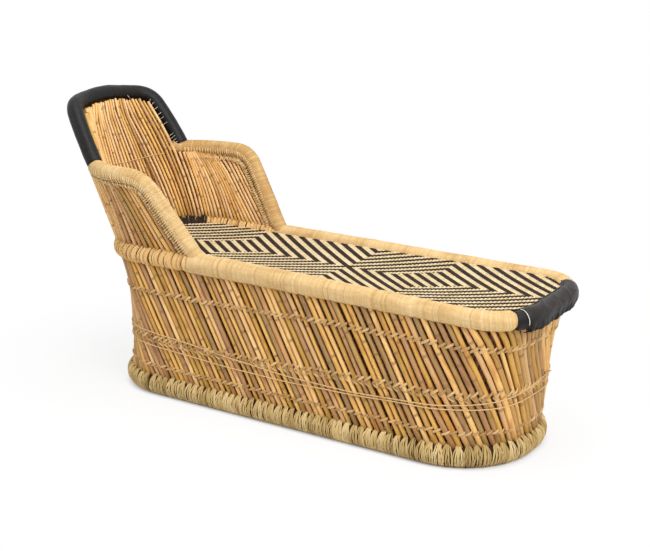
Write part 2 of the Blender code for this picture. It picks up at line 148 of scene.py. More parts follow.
# Tie rows and cords of the base wall: middle height, rise and fall, and the stop where they are highest
UPPER_ROW = (0.302, 0.008, 1.15)
CHEVRON_ROW = (0.169, 0.013, 1.23)
LOWER_ROW = (0.087, 0.003, 1.20)
WAIST_CORDS = {"upper": (0.165, 0.023, 0.12), "lower": (0.143, 0.014, -0.06)}
ROW_STRAY = 0.0012
TIE_HALF = 0.0112
TIE_RADIUS = 0.0019
TIE_BEND = 1.3
TIE_DOUBLING = 0.85
UPPER_TIE_RISE = 0.0062
LOWER_TIE_RISE = 0.0048
LOWER_TIE_GIRTH = 0.85
CHEVRON_RISE = 0.0078
CHEVRON_FALL = 0.7
CHEVRON_FALL_GIRTH = 0.6
CORD_RADIUS = 0.0015
CORD_STEP = 0.006
CORD_WAVE = 0.0006
BACK_CORD_RADIUS = 0.0013
BACK_CORD_SAG = 0.004
TWIG_STOP = 1.585
TWIG_HEIGHT = 0.192
TWIG_REACH = 0.022
TWIG_LIFT = 0.004
TWIG_RADIUS = 0.0014
TWINE_SIDES = 6

# Grass of the hoop and of the head of the ring
GRASS_RADIUS = 0.0015
GRASS_SIDES = 5
BUNDLE_PITCH = 0.0210
BUNDLE_STRANDS = 9
BUNDLE_PEAK = (0.003, 0.014)
HOOP_CORE_INSET = 0.0050
RING_CORE_INSET = 0.006
RING_BUNDLE = (0.008, 0.018)
RING_GRASS_PITCH = 0.0022
RING_GRASS_RADIUS = 0.0014
RING_CROWN = 0.0045
RING_END_LAP = 0.006

# Wound jute: a path has a number of points for each turn
JUTE_PITCH = 0.0029
JUTE_DEPTH = 0.0009
TURN_POINTS = 5
SLEEVE_SIDES = 26
SLEEVE_ROUNDING = 0.014
RAIL_LAP = 0.004
RAIL_TAPER = 0.45
ARM_TAPER = 0.8
NEAR_TONE = 0.55
FAR_TONE = 0.08
LOOP_PITCH = 0.0066
LOOP_REACH = (0.003, 0.010)
LOOP_RADIUS = (0.0020, 0.0026)

# The woven seat, with its diamonds and stripes counted in ropes
WEAVE_LEVEL = 0.3975
WEAVE_SAG = 0.008
WEAVE_LAP = 0.008
WEAVE_MIDDLE_X = 0.1257
ROPE_CELL_X = 0.00778
ROPE_CELL_Y = 0.0061
ROPE_FILL = 0.47
ROPE_HALF_HEIGHT = 0.0024
ROPE_LIFT = 0.0023
ROPE_PARTS = 3
HEAD_DIAMOND = -48
FOOT_DIAMOND = 30
DIAMOND_CORE = 12
STRIPE = 6
FRINGE_REACH = 0.205
FRINGE_PITCH = 0.0052
FRINGE_RADIUS = 0.0027
FRINGE_RISE = (0.016, 0.025)

# The foot end of the ring and the black covers
NEAR_FOOT_HEIGHT = RAIL_HEIGHT - 0.010
FAR_FOOT_HEIGHT = RAIL_HEIGHT - 0.003
FOOT_RADIUS = RAIL_RADIUS - 0.0042
POLE_RADIUS = 0.015
COVER_SIDES = 48
CREASE_DEPTH = 0.0030
FRAME_CREASE_DEPTH = 0.0010
NECK_LENGTH = 0.022
HEM_DEPTH = 0.009
HEM_ANGLE = math.radians(62)
SEAM_ANGLE = math.radians(232)
SEAM_RADIUS = 0.0022
THREAD_RADIUS = 0.0009
STITCH_RADIUS = 0.0006
STITCH_SLANT = 0.7
STITCH_SHARES = (*np.linspace(0.72, 0.86, 6), *np.linspace(0.92, 0.97, 4), 0.62)

# The floor's shade ends at the hoop: its middle, half sides and corner in plan, and how it fades outside
FOOTPRINT_MIDDLE_X = 0.0587
FOOTPRINT_HALF = (0.5875, 0.192)
FOOTPRINT_CORNER = 0.160
FLOOR_HALF = 6.0
NEAR_FADE = 0.04
FAR_FADE = 0.8
NEAR_WHITE = 0.82

# Light: the world's level, and each lamp's place, size and power
WORLD_LIGHT = 0.55
LAMP_AIM = Vector((0.0, 0.0, 0.35))
LAMPS = {
    "key": ((2.5, -1.4, 2.7), 2.0, 78.0),
    "fill": ((-2.3, -2.2, 2.1), 2.2, 13.0),
    "top": ((0.3, -0.2, 3.0), 2.4, 38.0),
}

# The camera fitted to the photo, whose frame is 650 by 551 pixels
CAMERA_AZIMUTH = math.radians(33.36)
CAMERA_ELEVATION = math.radians(15.87)
CAMERA_DISTANCE = 3.385
CAMERA_TARGET = Vector((0.0549, 0.0, 0.357))
CAMERA_LENS = 36.0 * 1283.1 / 650

# Steps of the working
ARC_SAMPLES = 120
WALL_SAMPLES = 2001
BEND_STEPS = 10
ARCH_STEPS = 16
FINE_STEP = 0.002
HEIGHT_STEP = 0.001
POST_CLEARANCE = 0.004
SLIGHT_BEND = math.radians(160)
GRAIN_SHIFT = 0.37
BUMP_DISTANCE = 0.001
UP = np.array((0.0, 0.0, 1.0))


def unit(rows):
    """The same directions with length one."""
    return rows / np.linalg.norm(rows, axis=-1, keepdims=True)


def with_height(plan, height):
    """Rows of x, y with a height added."""
    return np.column_stack((plan, np.broadcast_to(height, len(plan))))


class Outline:
    """A rounded oblong in plan, walked by arc length from the middle of its head, near side first."""

    def __init__(self, head_x, foot_x, half_width, head_corner, foot_corner):
        quarter = math.pi / 2
        corners = (
            (head_x + head_corner, -1, head_corner, 2 * quarter),
            (foot_x - foot_corner, -1, foot_corner, 3 * quarter),
            (foot_x - foot_corner, 1, foot_corner, 4 * quarter),
            (head_x + head_corner, 1, head_corner, 5 * quarter),
        )
        rows = [(head_x, 0.0, -1.0, 0.0)]
        for centre_x, side, corner, start in corners:
            angle = np.linspace(start, start + quarter, ARC_SAMPLES)
            outward = np.column_stack((np.cos(angle), np.sin(angle)))
            place = corner * outward + (centre_x, side * (half_width - corner))
            rows.extend(np.column_stack((place, outward)))
        rows.append(rows[0])
        self.rows = np.array(rows)
        steps = np.hypot(*np.diff(self.rows[:, :2], axis=0).T)
        self.stops = np.concatenate(([0.0], np.cumsum(steps)))
        self.length = self.stops[-1]
        self.side_start = self.stops[ARC_SAMPLES]
        self.side_end = self.stops[ARC_SAMPLES + 1]

    def at(self, stop):
        """Plan points and outward directions at arc lengths."""
        left = np.mod(stop, self.length)
        x, y, out_x, out_y = (np.interp(left, self.stops, column) for column in self.rows.T)
        return np.column_stack((x, y)), np.column_stack((out_x, out_y))


seat_head_corner = SEAT_HALF_WIDTH - SEAT_HEAD_FLAT
seat = Outline(SEAT_HEAD_X, SEAT_FOOT_X, SEAT_HALF_WIDTH, seat_head_corner, SEAT_FOOT_CORNER)
base = Outline(SEAT_HEAD_X + BASE_HEAD_INSET, SEAT_FOOT_X - BASE_FOOT_INSET, SEAT_HALF_WIDTH,
               SEAT_HALF_WIDTH - BASE_HEAD_FLAT, SEAT_HALF_WIDTH - BASE_FOOT_FLAT)
side_from_head = seat.side_start - seat_head_corner
arm_foot = side_from_head + ARM_FOOT_FROM_HEAD
arm_bend = side_from_head + ARM_BEND_FROM_HEAD
arm_back = SEAT_HEAD_FLAT + seat_head_corner * ARM_BACK_ANGLE
frame_corner = SEAT_HEAD_FLAT + seat_head_corner * FRAME_CORNER_ANGLE
arm_height = SEAT_TOP + ARM_RISE
cover_start = seat.side_end + SEAT_FOOT_CORNER * COVER_TURN


def wall_feet():
    """For stops all along the seat outline, the rows of the base outline that lie nearest to it."""
    stops = np.linspace(0.0, seat.length, WALL_SAMPLES)
    low, low_out = base.at(np.linspace(0.0, base.length, 3 * WALL_SAMPLES))
    places, _ = seat.at(stops)
    nearest = [np.argmin(((low - place) ** 2).sum(axis=1)) for place in places]
    return stops, np.column_stack((low, low_out))[nearest]


wall_stops, wall_rows = wall_feet()


def base_wall(stop, height, offset=0.0):
    """Points on the base wall, moved outward by the offset, and outward directions."""
    top, top_out = seat.at(stop)
    left = np.mod(stop, seat.length)
    low = np.column_stack([np.interp(left, wall_stops, column) for column in wall_rows.T])
    share = np.clip((height - HOOP_TOP) / (RAIL_BOTTOM - HOOP_TOP), -0.2, 1.0)
    share = np.broadcast_to(share, len(top))[:, None]
    outward = unit(low[:, 2:] * (1 - share) + top_out * share)
    facing = outward[:, :1]
    waist = np.where(facing < 0, HEAD_WAIST, FOOT_WAIST)
    funnel = np.where(facing < 0, HEAD_FUNNEL, FOOT_FUNNEL)
    inset = waist * facing ** 2 * 4 * share * (1 - share)
    inset = inset + funnel * np.abs(facing) * np.exp(-((share - FUNNEL_MIDDLE) / FUNNEL_REACH) ** 2)
    plan = low[:, :2] * (1 - share) + top * share
    plan = plan + outward * (np.reshape(offset, (-1, 1)) - inset)
    return with_height(plan, height), with_height(outward, 0.0)


def upper_wall(stop, height, offset=0.0):
    """Points on the flared upper wall, moved outward by the offset, and outward directions."""
    plan, outward = seat.at(stop)
    flare = BACK_LEAN * outward[:, 0] ** 2 + SIDE_FLARE * outward[:, 1] ** 2
    reach = flare * (height - SEAT_TOP) + offset
    return with_height(plan + outward * np.reshape(reach, (-1, 1)), height), with_height(outward, 0.0)


def ring_path(stop, height=RAIL_HEIGHT):
    """Points along the seat ring's middle and the outward directions there."""
    plan, outward = seat.at(stop)
    return with_height(plan, height), with_height(outward, 0.0)


def rounded(points, radius):
    """A line of (stop, height) points with its sharp corners rounded."""
    points = [np.array(point) for point in points]
    path = [points[0]]
    for before, corner, after in zip(points, points[1:], points[2:]):
        back = unit(before - corner)
        on = unit(after - corner)
        angle = math.acos(back @ on)
        if angle > SLIGHT_BEND:
            path.append(corner)
            continue
        reach = radius / math.tan(angle / 2)
        start, end = corner + back * reach, corner + on * reach
        for t in np.linspace(0, 1, BEND_STEPS + 1):
            path.append((1 - t) ** 2 * start + 2 * t * (1 - t) * corner + t ** 2 * end)
    path.append(points[-1])
    return np.array(path)


def lengths_along(path):
    """Length from the start of a line to each of its points."""
    return np.concatenate(([0.0], np.cumsum(np.linalg.norm(np.diff(path, axis=0), axis=1))))


def smooth(value, low, high):
    """A soft step from nought at one value to one at another."""
    share = np.clip((value - low) / (high - low), 0, 1)
    return share * share * (3 - 2 * share)


def evenly(path, step):
    """The same line with its points a fixed step apart."""
    lengths = lengths_along(path)
    places = np.linspace(0.0, lengths[-1], max(2, round(lengths[-1] / step)))
    return np.column_stack([np.interp(places, lengths, column) for column in path.T])


def softened(path, reach):
    """The same line with its kinks eased over a number of points to each side."""
    weights = np.full(2 * reach + 1, 1 / (2 * reach + 1))
    eased = np.column_stack([np.convolve(column, weights, "valid") for column in path.T])
    return np.vstack((path[:reach], eased, path[-reach:]))


def arm_line():
    """The near arm's middle line as (stop, height), from inside the rail to its back end."""
    slope = (arm_foot - arm_bend) / ARM_RISE
    foot = (arm_foot + slope * RAIL_RADIUS, RAIL_HEIGHT)
    points = (foot, (arm_bend, arm_height), (arm_back - FRAME_RADIUS, arm_height))
    return rounded(points, ARM_BEND_RADIUS)


def frame_line():
    """The back frame's middle line as (stop, height), from the near arm over the top to the far arm."""
    foot_height = arm_height + ARM_RADIUS / 2
    share = np.linspace(1, -1, ARCH_STEPS + 1)
    level = SEAT_TOP + FRAME_PEAK_RISE - (FRAME_PEAK_RISE - FRAME_CORNER_RISE) * share ** 2
    arch = np.column_stack((frame_corner * share, level))
    return rounded(((arm_back, foot_height), *arch, (-arm_back, foot_height)), FRAME_CORNER_RADIUS)


def ahead_and_inside(line):
    """Directions along a line of (stop, height) points, and across it towards its inside."""
    ahead = unit(np.gradient(line, axis=0))
    return ahead, np.column_stack((-ahead[:, 1], ahead[:, 0]))


def angles_round(sides):
    """The angles of points evenly round a circle."""
    return np.arange(sides) * 2 * math.pi / sides


def distance_to(places, line):
    """How far each (stop, height) place is from a line of such points."""
    start, along = line[:-1], np.diff(line, axis=0)
    reach = places[:, None, :] - start
    share = np.clip((reach * along).sum(-1) / (along ** 2).sum(-1), 0, 1)
    return np.linalg.norm(reach - along * share[..., None], axis=-1).min(axis=1)


arm_path = arm_line()
frame_path = frame_line()
frame_arch = frame_path[np.abs(frame_path[:, 0]) < frame_corner]
arm_outside_posts = evenly(arm_path, FINE_STEP)
arm_outside_posts = arm_outside_posts[arm_outside_posts[:, 0] > arm_back - POST_CLEARANCE]


class Strands:
    """Gathers round strands into one mesh. Its attributes feed the materials: grain (length along the strand
    and place across it), tone (a shade for the strand or turn) and mark (a place that stands out: a reed's
    joint, a crease's ridge, or painted shade on fibre)."""

    def __init__(self):
        self.points, self.faces, self.grain, self.tone, self.mark = [], [], [], [], []
        self.count = 0

    def add(self, path, outward, radius, tone, sides=8, closed=False, mark=0.0, flat=1.0):
        """One strand; radius, tone and mark are single values, one per ring, or one per ring and side."""
        rings = len(path)
        ahead = np.roll(path, -1, 0) - np.roll(path, 1, 0) if closed else np.gradient(path, axis=0)
        ahead = unit(ahead)
        side = unit(np.cross(ahead, np.broadcast_to(outward, path.shape)))
        normal = np.cross(side, ahead)
        angle = angles_round(sides)
        radius, tone, mark = (self.spread(value, rings, sides) for value in (radius, tone, mark))
        over = flat * np.cos(angle)[None, :, None] * normal[:, None, :]
        ring = over + np.sin(angle)[None, :, None] * side[:, None, :]
        points = path[:, None, :] + radius[..., None] * ring
        along = np.broadcast_to(lengths_along(path)[:, None], (rings, sides))
        shift = len(self.points) * GRAIN_SHIFT
        grain = np.stack((along + shift, radius * np.cos(angle), radius * np.sin(angle)), -1)
        index = self.count + np.arange(rings * sides).reshape(rings, sides)
        rows = np.vstack((index, index[:1])) if closed else index
        turned = np.roll(rows, -1, axis=1)
        quads = np.stack((rows[:-1], turned[:-1], turned[1:], rows[1:]), -1)
        self.faces += quads.reshape(-1, 4).tolist()
        if not closed:
            self.faces.append(index[0][::-1].tolist())
            self.faces.append(index[-1].tolist())
        self.points.append(points.reshape(-1, 3))
        self.grain.append(grain.reshape(-1, 3))
        self.tone.append(tone.ravel())
        self.mark.append(mark.ravel())
        self.count += rings * sides

    @staticmethod
    def spread(value, rings, sides):
        """A value for every ring and side."""
        value = np.asarray(value, dtype=float)
        value = value[:, None] if value.ndim == 1 else value
        return np.broadcast_to(value, (rings, sides))

    def build(self, name, material, slot, *nodes):
        """The gathered strands as one object that rides on the body and stands for the named solids."""
        mesh = bpy.data.meshes.new(name)
        mesh.from_pydata(np.concatenate(self.points).tolist(), [], self.faces)
        for title, rows in (("tone", self.tone), ("mark", self.mark)):
            mesh.attributes.new(title, "FLOAT", "POINT").data.foreach_set("value", np.concatenate(rows))
        grain = mesh.attributes.new("grain", "FLOAT_VECTOR", "POINT")
        grain.data.foreach_set("vector", np.concatenate(self.grain).ravel())
        mesh.shade_smooth()
        mesh.materials.append(material)
        piece = bpy.data.objects.new(name, mesh)
        bpy.context.scene.collection.objects.link(piece)
        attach(piece, "root")
        if nodes:
            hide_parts(*nodes)


class Shader:
    """A procedural material, built node by node."""

    def __init__(self, name, roughness, specular=0.5):
        self.material = bpy.data.materials.new(name)
        self.material.use_nodes = True
        self.tree = self.material.node_tree
        self.surface = self.tree.nodes["Principled BSDF"]
        self.surface.inputs["Roughness"].default_value = roughness
        self.surface.inputs["Specular IOR Level"].default_value = specular

    def node(self, kind, inputs, **settings):
        made = self.tree.nodes.new(kind)
        for key, value in settings.items():
            setattr(made, key, value)
        for key, value in inputs.items():
            if isinstance(value, bpy.types.NodeSocket):
                self.tree.links.new(value, made.inputs[key])
            else:
                made.inputs[key].default_value = value
        return made

    def attribute(self, name, output="Fac"):
        return self.node("ShaderNodeAttribute", {}, attribute_name=name).outputs[output]

    def noise(self, scale, detail, roughness=0.55):
        """Noise over the grain, by its scales along and across the strand."""
        grain = self.attribute("grain", "Vector")
        vector = self.node("ShaderNodeVectorMath", {0: grain, 1: scale}, operation="MULTIPLY").outputs[0]
        inputs = {"Vector": vector, "Scale": 1.0, "Detail": detail, "Roughness": roughness}
        return self.node("ShaderNodeTexNoise", inputs).outputs["Fac"]

    def ramp(self, value, *stops):
        """Colours (or greys) at places along a value."""
        made = self.node("ShaderNodeValToRGB", {"Fac": value})
        elements = made.color_ramp.elements
        while len(elements) < len(stops):
            elements.new(0.5)
        for element, (place, colour) in zip(elements, stops):
            element.position = place
            element.color = (*colour, 1.0) if isinstance(colour, tuple) else (colour, colour, colour, 1.0)
        return made.outputs["Color"]

    def mix(self, amount, first, second, blend="MIX"):
        colours = [(*colour, 1.0) if isinstance(colour, tuple) else colour for colour in (first, second)]
        inputs = {0: amount, 6: colours[0], 7: colours[1]}
        return self.node("ShaderNodeMix", inputs, data_type="RGBA", blend_type=blend).outputs[2]

    def times(self, first, second):
        return self.node("ShaderNodeMath", {0: first, 1: second}, operation="MULTIPLY").outputs[0]

    def fade(self, value, low, high, most):
        """A soft rise from nought at one value to the most at another."""
        inputs = {"Value": value, "From Min": low, "From Max": high, "To Min": 0.0, "To Max": most}
        return self.node("ShaderNodeMapRange", inputs, interpolation_type="SMOOTHSTEP").outputs["Result"]

    def finish(self, colour, bump, strength):
        inputs = {"Height": bump, "Strength": strength, "Distance": BUMP_DISTANCE}
        made = self.node("ShaderNodeBump", inputs)
        self.tree.links.new(made.outputs["Normal"], self.surface.inputs["Normal"])
        self.tree.links.new(colour, self.surface.inputs["Base Color"])
        return self.material


def reed_material(name, shades, stain, joint_colour):
    """Dried reed: each one its own shade, with streaks along it, warm patches, stains and darker joints."""
    shader = Shader(name, 0.42, 0.40)
    colour = shader.ramp(shader.attribute("tone"), *shades)
    warm = shader.noise((9, 25, 25), 2)
    colour = shader.mix(shader.ramp(warm, (0.50, 0.0), (0.72, 0.45)), colour, (0.70, 0.33, 0.09))
    streak = shader.noise((14, 900, 900), 4)
    colour = shader.mix(shader.ramp(streak, (0.40, 0.0), (0.74, 0.55)), colour, stain, "MULTIPLY")
    blotch = shader.noise((19, 90, 90), 3)
    colour = shader.mix(shader.ramp(blotch, (0.51, 0.0), (0.72, 0.80)), colour, stain, "MULTIPLY")
    joint = shader.times(shader.attribute("mark"), 0.75)
    colour = shader.mix(joint, colour, joint_colour)
    return shader.finish(colour, streak, 0.35)


def fibre_material(name, shades, groove, fibre_scale, roughness=0.85):
    """Dry plant fibre: strands or turns of different shades, fine fibres, and painted shade where mark is
    set.
    """
    shader = Shader(name, roughness, 0.2)
    colour = shader.ramp(shader.attribute("tone"), *shades)
    fibre = shader.noise(fibre_scale, 4, 0.65)
    colour = shader.mix(shader.ramp(fibre, (0.40, 0.0), (0.75, 0.5)), colour, groove, "MULTIPLY")
    patch = shader.noise((11, 40, 40), 2)
    colour = shader.mix(shader.ramp(patch, (0.48, 0.0), (0.75, 0.40)), colour, groove, "MULTIPLY")
    # Painted shade: mark darkens the fibre by the groove colour
    colour = shader.mix(shader.times(shader.attribute("mark"), 0.8), colour, groove, "MULTIPLY")
    return shader.finish(colour, fibre, 0.5)


def leathercloth_material():
    """Black leathercloth: fine pebbled grain, dust in patches, lighter on the ridges of its creases, and a
    painted sheen that grows with tone.
    """
    shader = Shader("black_leathercloth", 0.44, 0.24)
    grain = shader.attribute("grain", "Vector")
    pebble = shader.node("ShaderNodeTexVoronoi", {"Vector": grain, "Scale": 700.0}).outputs["Distance"]
    dust = shader.noise((40, 60, 60), 4)
    shades = ((0.0, (0.003, 0.003, 0.003)), (1.0, (0.017, 0.013, 0.012)))
    colour = shader.ramp(shader.attribute("tone"), *shades)
    colour = shader.mix(shader.ramp(dust, (0.5, 0.0), (0.8, 0.25)), colour, (0.034, 0.029, 0.027))
    colour = shader.mix(shader.times(shader.attribute("mark"), 0.35), colour, (0.040, 0.035, 0.034))
    return shader.finish(colour, pebble, 0.25)


REED = reed_material(
    "golden_reed",
    ((0.0, (0.35, 0.18, 0.078)), (0.14, (0.57, 0.322, 0.125)), (0.32, (0.89, 0.60, 0.29)),
     (0.5, (0.84, 0.51, 0.15)), (0.68, (0.57, 0.32, 0.052)), (0.86, (0.47, 0.287, 0.088)),
     (1.0, (0.32, 0.19, 0.078))),
    (0.62, 0.43, 0.27), (0.20, 0.10, 0.04))
# A darker copy of the reed: painted shade for the inner layer of the base wall, seen through the gaps of the
# outer one
INNER_REED_PAINTED_SHADE = reed_material(
    "painted_shade_reed",
    ((0.0, (0.19, 0.080, 0.026)), (0.5, (0.27, 0.125, 0.038)), (1.0, (0.14, 0.065, 0.023))),
    (0.55, 0.40, 0.28), (0.07, 0.035, 0.015))
JUTE = fibre_material(
    "wound_jute",
    ((0.0, (0.60, 0.38, 0.15)), (0.5, (0.77, 0.56, 0.275)), (1.0, (0.86, 0.67, 0.37))),
    (0.58, 0.42, 0.27), (120, 700, 700))
TWINE = fibre_material(
    "jute_twine",
    ((0.0, (0.46, 0.27, 0.11)), (0.5, (0.63, 0.41, 0.18)), (1.0, (0.78, 0.55, 0.28))),
    (0.58, 0.43, 0.28), (150, 900, 900))
# The darkest stop colours the hoop's core: painted shade
GRASS = fibre_material(
    "bound_grass",
    ((0.0, (0.07, 0.04, 0.015)), (0.25, (0.43, 0.29, 0.11)),
     (0.65, (0.63, 0.46, 0.20)), (1.0, (0.82, 0.64, 0.34))),
    (0.50, 0.39, 0.25), (40, 900, 900))
# The darkest stop colours the head ring's core: painted shade
GRASS_ROPE = fibre_material(
    "grass_rope",
    ((0.0, (0.20, 0.11, 0.04)), (0.25, (0.68, 0.40, 0.15)),
     (0.6, (0.90, 0.60, 0.26)), (1.0, (0.94, 0.69, 0.35))),
    (0.50, 0.36, 0.22), (40, 900, 900))
CREAM_ROPE = fibre_material(
    "cream_rope",
    ((0.0, (0.63, 0.49, 0.28)), (0.5, (0.73, 0.59, 0.365)), (1.0, (0.79, 0.67, 0.45))),
    (0.70, 0.58, 0.42), (150, 700, 700))
BLACK_ROPE = fibre_material(
    "black_rope",
    ((0.0, (0.020, 0.013, 0.010)), (0.6, (0.032, 0.021, 0.015)), (1.0, (0.055, 0.038, 0.027))),
    (0.5, 0.45, 0.4), (150, 700, 700), 0.75)
LEATHERCLOTH = leathercloth_material()
PALE_THREAD = fibre_material(
    "pale_thread", ((0.0, (0.70, 0.66, 0.58)), (1.0, (0.84, 0.81, 0.74))), (0.7, 0.66, 0.6), (300, 900, 900))
POLE = reed_material(
    "bare_cane", ((0.0, (0.36, 0.23, 0.10)), (1.0, (0.46, 0.30, 0.14))), (0.6, 0.45, 0.3), (0.2, 0.11, 0.05))


def reed_levels(foot, head):
    """Heights of a reed's rings from foot to head, its girth there and how much each belongs to a joint."""
    first, spacing = rng.uniform(*FIRST_JOINT), rng.uniform(*JOINT_SPACING)
    joints = np.arange(foot + first, head - 2 * JOINT_HALF, spacing)
    plain = np.linspace(foot, head, 8)
    heights = np.concatenate((plain, joints - JOINT_HALF, joints, joints + JOINT_HALF))
    heights = np.unique(np.clip(heights, foot, head).round(5))
    near = np.abs(heights[:, None] - joints).min(axis=1) if len(joints) else np.full(len(heights), 1.0)
    mark = np.clip(1 - near / JOINT_HALF, 0, 1)
    girth = 1 + JOINT_SWELL * mark + FOOT_SWELL * (1 - (heights - foot) / (head - foot))
    return heights, girth, mark


def stray_girth(spread, least, most):
    """How thick one reed is beside its neighbours."""
    return np.clip(rng.normal(1.0, spread), least, most)


def base_panel(middle):
    """The panel that a reed of the base wall belongs to, by its middle."""
    inset = BASE_LEAN / 2
    along = min(middle, seat.length - middle)
    half = "near" if middle < seat.length / 2 else "far"
    if seat.side_start + inset <= along <= seat.side_end - inset:
        return f"{half}_side"
    return f"head_{half}" if along < seat.length / 4 else f"foot_{half}"


def crowding(stop):
    """How much closer the reeds stand and how far they move towards the head end, by where they stand."""
    turn = 2 * math.pi * stop / seat.length
    shift = HEAD_CROWDING * math.sin(turn) * seat.length / (2 * math.pi)
    return HEAD_CROWDING * math.cos(turn), shift


def build_base_wall(layer, label, pitch, thickness, material, slot):
    """One layer of the base wall in its panels; returns the stops of the reeds' tops and feet."""
    count = round(seat.length / pitch)
    panels, ends = {}, []
    foot, head = HOOP_TOP - REED_SINK, RAIL_BOTTOM + REED_SINK
    for k in range(count):
        middle = (k + 0.5) * seat.length / count
        closer, shift = crowding(middle)
        middle = middle - shift
        top, low = middle + layer * BASE_LEAN * np.array((-0.5, 0.5)) + rng.normal(0, END_STRAY, 2)
        heights, girth, mark = reed_levels(foot, head)
        share = (RAIL_BOTTOM - heights) / (RAIL_BOTTOM - HOOP_TOP)
        bow = rng.normal(0, BOW_STRAY) * np.sin(math.pi * np.clip(share, 0, 1))
        offset = layer * LAYER_OFFSET + rng.normal(0, DEPTH_STRAY)
        path, outward = base_wall(top + (low - top) * share + bow, heights, offset)
        radius = thickness * (1 - closer) * stray_girth(*BASE_GIRTHS) * girth
        panel = panels.setdefault(base_panel(middle), Strands())
        panel.add(path, outward, radius, rng.uniform(), sides=REED_SIDES, mark=mark)
        ends.append((top, low))
    for name, panel in panels.items():
        panel.build(f"{name}_{label}_wall", material, slot, f"{name}_{label}_reeds")
    return np.array(ends)


def course(stop, middle, reach, peak):
    """Height of a tie row or cord, which rises and falls twice on its way round the wall."""
    return middle + reach * np.cos(4 * math.pi * (stop - peak) / seat.length)


def tie_places(ends, row):
    """Stops and heights where a tie row crosses the outer reeds."""
    top, low = ends.T
    height = course((top + low) / 2, *row) + rng.normal(0, ROW_STRAY, len(ends))
    stop = top + (low - top) * (RAIL_BOTTOM - height) / (RAIL_BOTTOM - HOOP_TOP)
    return np.column_stack((stop, height))


def tie(strands, stop, height, rise, radius):
    """A doubled cord over one outer reed, from the gap on its head side to the gap on its foot side."""
    share = np.linspace(-1, 1, 9)
    offset = LAYER_OFFSET + (REED_RADIUS + radius) * np.cos(TIE_BEND * share)
    tone = rng.uniform()
    for lift in (-TIE_DOUBLING * radius, TIE_DOUBLING * radius):
        path, outward = base_wall(stop + TIE_HALF * share, height + lift + rise * share, offset)
        strands.add(path, outward, radius, tone, sides=TWINE_SIDES)


def build_twine_rows(ends):
    """The tie rows of the base wall: a row high up, the chevron, the two waist cords and a low row."""
    upper, chevron, lower = Strands(), Strands(), Strands()
    for stop, height in tie_places(ends, UPPER_ROW):
        tie(upper, stop, height, UPPER_TIE_RISE * rng.uniform(0.8, 1.2), TIE_RADIUS)
    for stop, height in tie_places(ends, LOWER_ROW):
        rise = LOWER_TIE_RISE * rng.uniform(0.7, 1.2)
        tie(lower, stop, height, rise, TIE_RADIUS * LOWER_TIE_GIRTH)
    for stop, height in tie_places(ends, CHEVRON_ROW):
        reach = CHEVRON_RISE * rng.uniform(0.85, 1.15)
        tie(chevron, stop, height + reach, reach, TIE_RADIUS)
        fall = CHEVRON_FALL * reach
        tie(chevron, stop, height - fall, -fall, TIE_RADIUS * CHEVRON_FALL_GIRTH)
    upper.build("upper_row_twine", TWINE, "twine", "upper_row_cord")
    chevron.build("chevron_twine", TWINE, "twine")
    lower.build("lower_row_twine", TWINE, "twine", "lower_row_cord")
    for label, row in WAIST_CORDS.items():
        cord = Strands()
        stop = np.arange(0.0, seat.length, CORD_STEP)
        level = course(stop, *row) + CORD_WAVE * np.sin(stop * 31)
        offset = LAYER_OFFSET + REED_RADIUS * (1 + JOINT_SWELL) + CORD_RADIUS
        path, outward = base_wall(stop, level, offset)
        cord.add(path, outward, CORD_RADIUS, 0.9, sides=TWINE_SIDES, closed=True)
        cord.build(f"waist_twine_{label}", TWINE, "twine", f"waist_cord_{label}")


def build_hoop():
    """The grass hoop: a dark core, painted shade seen between the strands, and fans of grass that spread
    from a point on the wall and wrap round it.
    """
    grass = Strands()
    stop = np.linspace(0.0, base.length, 400, endpoint=False)
    plan, outward = base.at(stop)
    path, outward = with_height(plan, HOOP_HEIGHT), with_height(outward, 0.0)
    # The core takes the darkest tone and the full mark: painted shade between the strands of grass
    grass.add(path, outward, HOOP_RADIUS - HOOP_CORE_INSET, 0.0, sides=16, closed=True, mark=1.0)
    count = round(base.length / BUNDLE_PITCH)
    angle = np.radians((82, 66, 48, 28, 8, -15, -40, -65, -90, -120, -155, -190, -225))
    spread = np.array((0.06, 0.16, 0.34, 0.58, 0.80, 0.94, 1, 1, 1, 1, 1, 1, 1, 1))
    for k in range(count):
        middle = (k + rng.uniform(0.38, 0.62)) * base.length / count
        shade = rng.normal(0.62, 0.12)
        peak = HOOP_TOP + rng.uniform(*BUNDLE_PEAK)
        width = BUNDLE_PITCH * rng.uniform(0.94, 1.12)
        for share in np.linspace(-0.5, 0.5, BUNDLE_STRANDS):
            radius = GRASS_RADIUS * rng.uniform(0.75, 1.25)
            around = HOOP_RADIUS - radius - rng.uniform(0.0, 0.0012)
            reach = np.concatenate(((LAYER_OFFSET * 0.9,), around * np.cos(angle)))
            level = np.concatenate(((peak + rng.normal(0, 0.003),), HOOP_HEIGHT + around * np.sin(angle)))
            level = np.maximum(level + rng.normal(0, 0.0003, len(level)), radius)
            sway = width * (share + rng.normal(0, 0.06)) * spread + rng.normal(0, 0.0007, len(spread))
            plan, outward = base.at(middle + sway)
            path = with_height(plan + outward * reach[:, None], level)
            facing = np.column_stack((outward * reach[:, None], level - HOOP_HEIGHT))
            tone = np.clip(shade + rng.normal(0, 0.16), 0, 1)
            grass.add(path, facing, radius, tone, sides=GRASS_SIDES)
    grass.build("grass_hoop", GRASS, "grass", "base_hoop")


